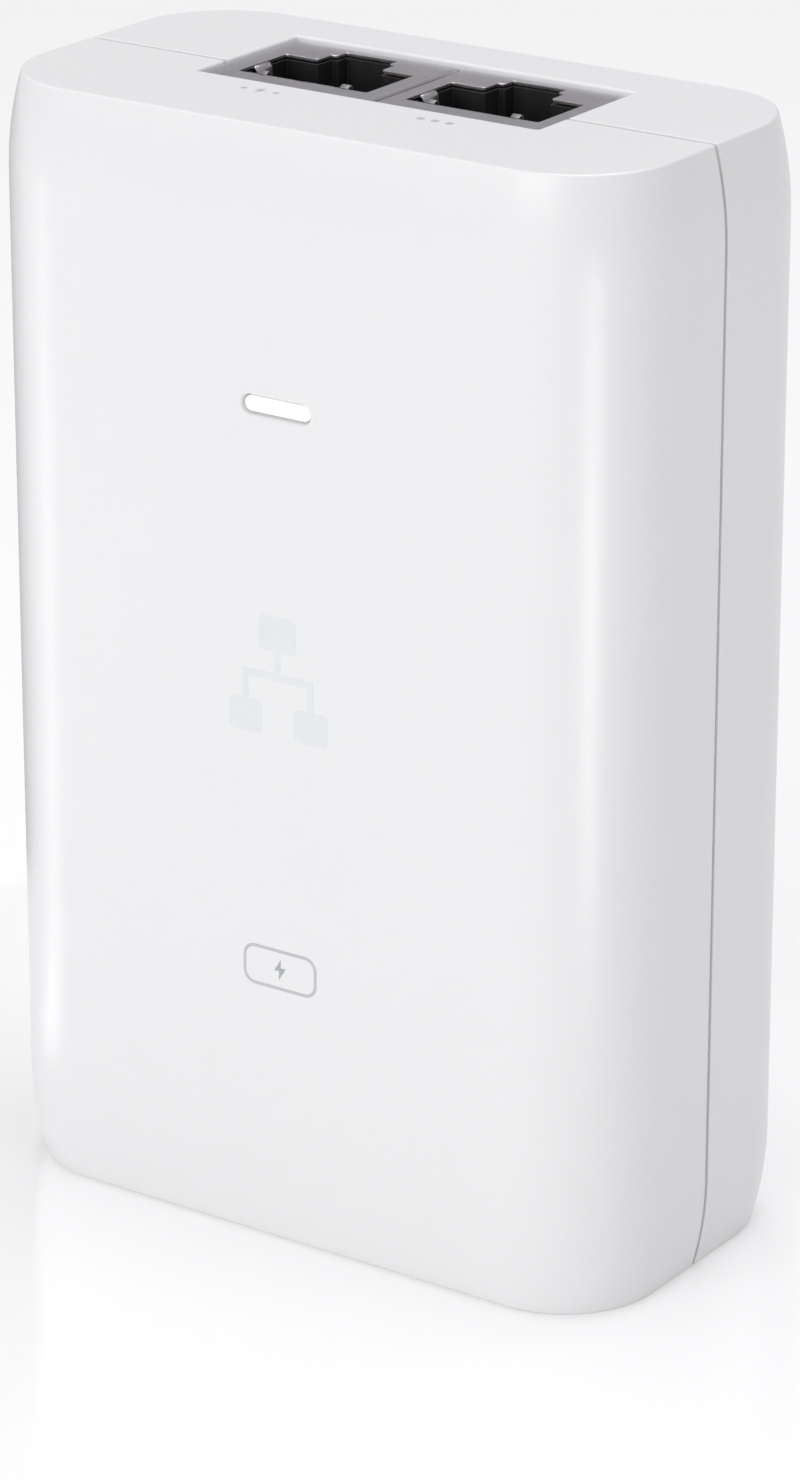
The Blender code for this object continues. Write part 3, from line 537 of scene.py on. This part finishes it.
def make_jack(tag, xc, body):
    half, top = JACK_W / 2, JACK_TOP - SHEET / 2
    can = block(tag + "_can", (xc - half, JACK_Y0, JACK_Z0), (xc + half, JACK_Y1, JACK_TOP), TIN, bevel=0.32, segs=5)
    steps = cut(
        block("tool_can", (xc - half + SHEET, JACK_Y0 + SHEET, JACK_Z0 + SHEET), (xc + half - SHEET, JACK_Y1 + 3, JACK_TOP - SHEET),
              bevel=0.14, segs=3),
        prism("tool_mouth", [corners_rounded(port_outline(xc), 0.22, 4)], "Z", JACK_TOP - 2, JACK_TOP + 2))
    for side in (-1, 1):
        wing = eased([(xc + side * x, z) for x, z in
                      ((6.8, top), (6.25, top), (5.95, top - 0.12), (5.8, top - 0.6), (5.7, top - 1.4), (5.75, top - 2.0), (5.95, top - 2.8))])
        toe = eased([(-2.1, top), (-1.4, top), (-1.0, top + 0.08), (-0.72, top + 0.27), (-0.5, top + 0.2), (-0.45, top - 0.2), (-0.55, top - 0.9)])
        steps += add(
            ribbon("tool_wing", wing, "Y", 1.9, 2.0, 0.18),
            ribbon("tool_toe", toe, "X", xc + side * 3.87, 0.8, 0.18),
            block("tool_leg", (xc + side * 7.62 - 0.11, 8.0, 80.0), (xc + side * 7.62 + 0.11, 12.5, 81.6), bevel=0.04, segs=1))
    carve(can, *steps)
    can.data.materials.append(TIN_PAINTED_SHADE)
    for poly in can.data.polygons:      # the inner tongues of the shield get the darker tin: painted shade in place of their glint
        c = poly.center / MM
        if abs(abs(c.x - xc) - 3.87) < 0.45 and -1.3 < c.y < -0.2 and c.z > top - 1.2:
            poly.material_index = 1
    rounded(can, 0.045, 2, 45)
    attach(can, "case")
    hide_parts(tag + "_shield")

    insert = block(tag + "_insert", (xc - 7.38, -3.55, JACK_Z0 + 0.4), (xc + 7.38, JACK_Y1 - 0.4, JACK_TOP - 0.4), BLACK)
    carve(insert, *cut(
        prism("tool_cavity", [corners_rounded(port_outline(xc, -0.1), 0.18, 4)], "Z", CAVITY_Z, JACK_TOP + 2),
        block("tool_contacts", (xc - 4.35, -3.05, 74.3), (xc + 4.35, -1.0, JACK_TOP + 1)),
        block("tool_arm", (xc - 4.35, -3.05, 74.3), (xc + 4.35, 12.0, 76.9)),
        block("tool_wings", (xc - 6.9, 0.6, 87.6), (xc + 6.9, 3.2, JACK_TOP + 1)),
        block("tool_toes", (xc - 4.7, -2.6, 90.0), (xc + 4.7, -0.9, JACK_TOP + 1))))
    rounded(insert, 0.07, 2, 50)
    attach(insert, "case")
    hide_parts(tag + "_housing")

    path = eased([(-2.7, 88.95), (-2.68, 89.3), (-2.35, 89.58), (-2.02, 89.3), (-1.9, 89.0), (0.5, 83.42), (0.55, 83.3), (0.72, 82.7),
                  (0.6, 82.1), (0.1, 81.3)], 3)
    for k in range(8):
        data = bpy.data.curves.new("%s_spring_%d" % (tag, k + 1), "CURVE")
        data.dimensions = "3D"
        data.bevel_depth, data.bevel_resolution, data.use_fill_caps = 0.2 * MM, 4, True
        line = data.splines.new("POLY")
        line.points.add(len(path) - 1)
        x = xc + (k - 3.5) * 1.016
        for point, (y, z) in zip(line.points, path):
            point.co = (x * MM, y * MM, z * MM, 1)
        line.use_smooth = True
        data.materials.append(GOLD)
        wire = bpy.data.objects.new(data.name, data)
        bpy.context.scene.collection.objects.link(wire)
        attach(wire, body)
        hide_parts("%s_contact_%d" % (tag, k + 1))


make_jack("data_jack", JACK_X["data_jack"], "data_contacts")
make_jack("poe_jack", JACK_X["poe_jack"], "poe_contacts")

# ---- mains inlet ----------------------------------------------------------------------------
inlet = prism("inlet_body", [corners_rounded(inlet_outline(INLET_W, INLET_D, 4.6), [0.8, 0.8, 0.6, 0.6, 0.6, 0.6], 6)], "Z", 0.3, INLET_H, BLACK)
PINS = (("line", -7.0, -2.0, 1.9), ("neutral", 7.0, -2.0, 1.9), ("earth", 0.0, 2.0, 1.2))
steps = cut(prism("tool_inlet", [corners_rounded(inlet_outline(INLET_CAV_W, INLET_CAV_D, 4.4), 0.5, 6)], "Z", -1.0, INLET_CAV_H))
for pin, px, py, tip in PINS:
    steps += add(block("tool_collar", (px - 1.7, INLET_Y + py - 2.7, INLET_CAV_H - 0.45), (px + 1.7, INLET_Y + py + 2.7, INLET_CAV_H + 1), bevel=0.4, segs=4, along="Z"))
for pin, px, py, tip in PINS:
    steps += cut(block("tool_way", (px - 1.05, INLET_Y + py - 2.05, 16), (px + 1.05, INLET_Y + py + 2.05, 26)))
carve(inlet, *steps)
rounded(inlet, 0.18, 3, 40)
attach(inlet, "case")
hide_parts("inlet_housing")
for pin, px, py, tip in PINS:
    cy = INLET_Y + py
    blade = block("blade_" + pin, (px - 1.0, cy - 2.0, tip), (px + 1.0, cy + 2.0, 25.6), NICKEL, bevel=0.28, segs=4)
    nose = []
    for s in (-1, 1):   # the tip narrows over its last millimetre and a half
        nose += cut(prism("tool_nose", [[(cy + s * 2.6, tip - 0.5), (cy + s * 1.25, tip - 0.5), (cy + s * 1.25, tip), (cy + s * 2.05, tip + 1.5), (cy + s * 2.6, tip + 1.5)]],
                          "X", px - 2, px + 2))
    carve(blade, *nose,
          *add(block("tool_tail", (px - 0.7, cy - 1.0, 24.9), (px + 0.7, 9.0, 25.5)),
               block("tool_foot", (px - 0.6, 8.2, 24.95), (px + 0.6, 12.6, 25.45))))
    rounded(blade, 0.09, 2, 30)
    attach(blade, "case")
    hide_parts("inlet_pin_" + pin)

# ---- screws and label -----------------------------------------------------------------------
for sx in (-1, 1):
    for bz in BOSS_Z:
        x, name = sx * BOSS_X, ("left" if sx < 0 else "right") + ("_top" if bz > H / 2 else "_bottom")
        profile = [(0, 1.5), (0.9, 1.47), (1.5, 1.32), (1.9, 1.02), (2.12, 0.62), (2.2, 0.2), (2.14, 0.0), (1.05, 0.0)]
        z = -0.5
        while z > -10.0:     # thread
            profile += [(1.03, z), (0.78, z - 0.32), (0.78, z - 0.42), (1.03, z - 0.72)]
            z -= 0.8
        profile += [(0.75, -10.9), (0.3, -12.0), (0, -12.0)]
        bm = bmesh.new()
        verts = [bm.verts.new((r * MM, 0, h * MM)) for r, h in profile]
        for a, b in zip(verts, verts[1:]):
            bm.edges.new((a, b))
        bmesh.ops.spin(bm, geom=bm.verts[:] + bm.edges[:], cent=(0, 0, 0), axis=(0, 0, 1), angle=math.tau, steps=40, use_merge=True)
        bmesh.ops.remove_doubles(bm, verts=bm.verts[:], dist=1e-7)
        bmesh.ops.transform(bm, matrix=Matrix.Translation(Vector((x, 13.45, bz)) * MM) @ Matrix.Rotation(math.radians(-90), 4, "X"), verts=bm.verts[:])
        screw = link("screw_" + name, bm, ZINC)
        arms = block("tool_arm", (x - 1.25, 14.3, bz - 0.24), (x + 1.25, 16.0, bz + 0.24))
        arms2 = block("tool_arm", (x - 0.24, 14.3, bz - 1.25), (x + 0.24, 16.0, bz + 1.25))
        carve(screw, *cut(arms, arms2))
        rounded(screw, 0.05, 2, 50)
        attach(screw, "case")
        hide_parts("case_screw_" + name)

label = block("label_plate", (-16.9, D / 2 - 0.25, 22.1), (16.9, D / 2 - 0.05, 69.9), LABEL, bevel=1.0, segs=8, along="Y")
rounded(label, 0.04, 2, 50)
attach(label, "case")
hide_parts("rating_label")


# ---- print ----------------------------------------------------------------------------------
def decal(name, loops, axis, mat, holes=()):
    """Ink as a very thin solid, half sunk in the skin. The outlines are as for prism."""
    lo, hi = (-D / 2 + 0.003, -D / 2 + 0.045) if axis == "Y" else (H - 0.026, H - 0.003)
    obj = prism(name, loops, axis, lo, hi, mat)
    if holes:
        carve(obj, *cut(*(prism("tool_ink", [hole], axis, lo - 1, hi + 1) for hole in holes)))
    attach(obj, "case")
    return obj


def bar(x, z, w, h, r=0.3):
    return corners_rounded([(x - w / 2, z - h / 2), (x + w / 2, z - h / 2), (x + w / 2, z + h / 2), (x - w / 2, z + h / 2)], r, 6)


def bolt(x, z, s):
    return [(x + a * s, z + b * s) for a, b in ((0.10, 1.0), (-0.62, -0.12), (-0.08, -0.12), (-0.14, -1.0), (0.62, 0.20), (0.06, 0.20))]


# badge: an outlined plate round a bolt
BZ = 24.05
decal("badge_frame", [bar(0, BZ, 7.08, 3.46, 1.12)], "Y", INK_GREY, holes=[bar(0, BZ, 6.56, 2.94, 0.86)])
decal("badge_bolt", [bolt(0, BZ, 0.88)], "Y", INK_DARK)
# large pale mark: a plain network tree, one box above two
MZ = 48.6
decal("front_mark", [bar(0, MZ + 3.5, 3.6, 2.9, 0.5), bar(-3.1, MZ - 3.6, 3.2, 2.7, 0.5), bar(3.1, MZ - 3.6, 3.2, 2.7, 0.5),
                     [(-0.3, MZ + 2.0), (-0.3, MZ + 0.3), (-3.4, MZ + 0.3), (-3.4, MZ - 2.2), (-2.8, MZ - 2.2), (-2.8, MZ - 0.3),
                      (2.8, MZ - 0.3), (2.8, MZ - 2.2), (3.4, MZ - 2.2), (3.4, MZ + 0.3), (0.3, MZ + 0.3), (0.3, MZ + 2.0)]], "Y", INK_PALE)
# port marks on the top face: three dots for the network port, a bolt and a dot for the powered one
MY = -6.5
decal("data_port_mark", [bar(6.9, MY, 0.62, 0.62, 0.2), bar(8.2, MY, 0.62, 0.62, 0.2), bar(9.5, MY, 0.62, 0.62, 0.2)], "Z", INK_GREY)
decal("poe_port_mark", [bolt(-8.0, MY, 0.75), bar(-9.5, MY, 0.5, 0.5, 0.2), bar(-6.5, MY, 0.5, 0.5, 0.2)], "Z", INK_GREY)

# ---- what the case holds --------------------------------------------------------------------
INSIDE = {
    "circuit_board": BOARD, "insulating_sheet": SHEET_MAT, "status_led": RESIN,
    "fuse": EPOXY, "varistor": DISC, "x_capacitor": FILM, "choke_core": FERRITE, "choke_coil_1": COPPER, "choke_coil_2": COPPER,
    "bridge_rectifier": EPOXY, "bulk_capacitor": SLEEVE, "output_capacitor_1": SLEEVE, "output_capacitor_2": SLEEVE,
    "transformer_core": FERRITE, "transformer_bobbin": EPOXY, "transformer_winding": TAPE, "heatsink": ALUMINIUM,
    "power_transistor": EPOXY, "output_rectifier": EPOXY, "controller_ic": EPOXY, "network_transformer": EPOXY,
    "optocoupler": EPOXY, "y_capacitor": DISC, "data_jack_contact_carrier": EPOXY, "poe_jack_contact_carrier": EPOXY,
}
for node, mat in INSIDE.items():
    data = NODES[node].data
    data.materials.clear()
    data.materials.append(mat)

# ---- floor, light and camera ----------------------------------------------------------------
bm = bmesh.new()
bmesh.ops.create_circle(bm, cap_ends=True, segments=96, radius=4.0)
FLOOR = finish_of("studio_floor", (0.88, 0.88, 0.885), (0.89, 0.89, 0.892), (0.10, 0.13), tone_scale=3, grain=60, relief=(0.0, 1e-6))
FLOOR.node_tree.nodes["Principled BSDF"].inputs["Emission Color"].default_value = (1, 1, 1, 1)
FLOOR.node_tree.nodes["Principled BSDF"].inputs["Emission Strength"].default_value = 0.16
floor = link("studio_floor", bm, FLOOR)
floor.location.z = -0.00002

scene = bpy.context.scene
world = bpy.data.worlds.new("studio")
scene.world = world
world.use_nodes = True
sky = world.node_tree.nodes["Background"]
sky.inputs["Color"].default_value = (0.965, 0.97, 1.0, 1)
sky.inputs["Strength"].default_value = 0.37


def softbox(name, azimuth, elevation, distance, size, power, colour=(1, 1, 1), size_y=None, aim=(0, 0, 0.046)):
    """A soft area light round the object. Azimuth 0 is in front of it, positive to its right."""
    a, e = math.radians(azimuth), math.radians(elevation)
    at = Vector(aim) + distance * Vector((math.sin(a) * math.cos(e), -math.cos(a) * math.cos(e), math.sin(e)))
    data = bpy.data.lights.new(name, "AREA")
    data.shape = "RECTANGLE"
    data.size, data.size_y = size, size_y or size
    data.energy, data.color = power, colour
    lamp = bpy.data.objects.new(name, data)
    scene.collection.objects.link(lamp)
    lamp.location = at
    lamp.rotation_euler = (Vector(aim) - at).to_track_quat("-Z", "Y").to_euler()
    return lamp


softbox("key", -6, 20, 2.6, 2.2, 28.5, size_y=1.3)
softbox("overhead", 188, 80, 2.4, 2.0, 36.0)
softbox("fill", 95, 40, 2.4, 1.5, 4.2)


def table_strip(name, azimuth, near, far, width, radiance):
    """A strip that lies on the table and shows only as a streak along a rounded corner."""
    a = math.radians(azimuth)
    way = Vector((math.sin(a), -math.cos(a), 0))
    data = bpy.data.lights.new(name, "AREA")
    data.shape, data.size, data.size_y = "RECTANGLE", width, far - near
    data.energy = radiance * math.pi * width * (far - near)
    lamp = bpy.data.objects.new(name, data)
    scene.collection.objects.link(lamp)
    corner = Vector((math.copysign(0.0207, azimuth), -0.0064, 0.003))
    lamp.matrix_world = Matrix.Translation(corner + way * (near + far) / 2) @ Matrix.Rotation(a, 4, "Z") @ Matrix.Rotation(math.pi, 4, "X")
    lamp.visible_diffuse = lamp.visible_camera = False
    return lamp


for azimuth, reach, radiance in ((51, ((0.085, 0.15, 0.024), (0.15, 0.36, 0.05)), 5.6),
                                 (-56, ((0.025, 0.08, 0.012), (0.08, 0.15, 0.026), (0.15, 0.36, 0.055)), 2.3)):
    for near, far, width in reach:
        table_strip("strip_%d_%d" % (azimuth, far * 1000), azimuth, near, far, width, radiance)

# a dark flag beside the left corner, which only reflections see
bm = bmesh.new()
bmesh.ops.create_grid(bm, x_segments=1, y_segments=1, size=0.5)
FLAG = finish_of("flag_cloth", (0.02, 0.02, 0.02), (0.03, 0.03, 0.03), (0.8, 0.9), tone_scale=30, grain=400)
flag = link("studio_flag", bm, FLAG)
_a = math.radians(-114)
_way = Vector((math.sin(_a), -math.cos(_a), 0))
flag.matrix_world = (Matrix.Translation(Vector((-0.0207, -0.0064, 0.042)) + _way * 0.06) @ Matrix.Rotation(_a, 4, "Z")
                     @ Matrix.Rotation(math.radians(90), 4, "X") @ Matrix.Diagonal((0.076, 0.080, 1, 1)))
flag.visible_camera = flag.visible_diffuse = flag.visible_shadow = False

AZ, EL, DIST = math.radians(34.659), math.radians(20.955), 0.44519
back = Vector((math.sin(AZ) * math.cos(EL), -math.cos(AZ) * math.cos(EL), math.sin(EL)))
right = Vector((math.cos(AZ), math.sin(AZ), 0))
up = back.cross(right)
target = Vector((0, 0, H / 2 * MM)) + right * 0.000426 + up * -0.007031
cam_data = bpy.data.cameras.new("camera")
cam_data.lens, cam_data.sensor_width, cam_data.sensor_fit = 136.12, 36.0, "AUTO"
cam_data.clip_start, cam_data.clip_end = 0.01, 20.0
camera = bpy.data.objects.new("camera", cam_data)
scene.collection.objects.link(camera)
camera.rotation_mode = "QUATERNION"
camera.location = target + back * DIST
camera.rotation_quaternion = Matrix((right, up, back)).transposed().to_quaternion()
scene.camera = camera
scene.view_settings.view_transform = "Standard"
scene.view_settings.look = "None"

bpy.context.view_layer.update()
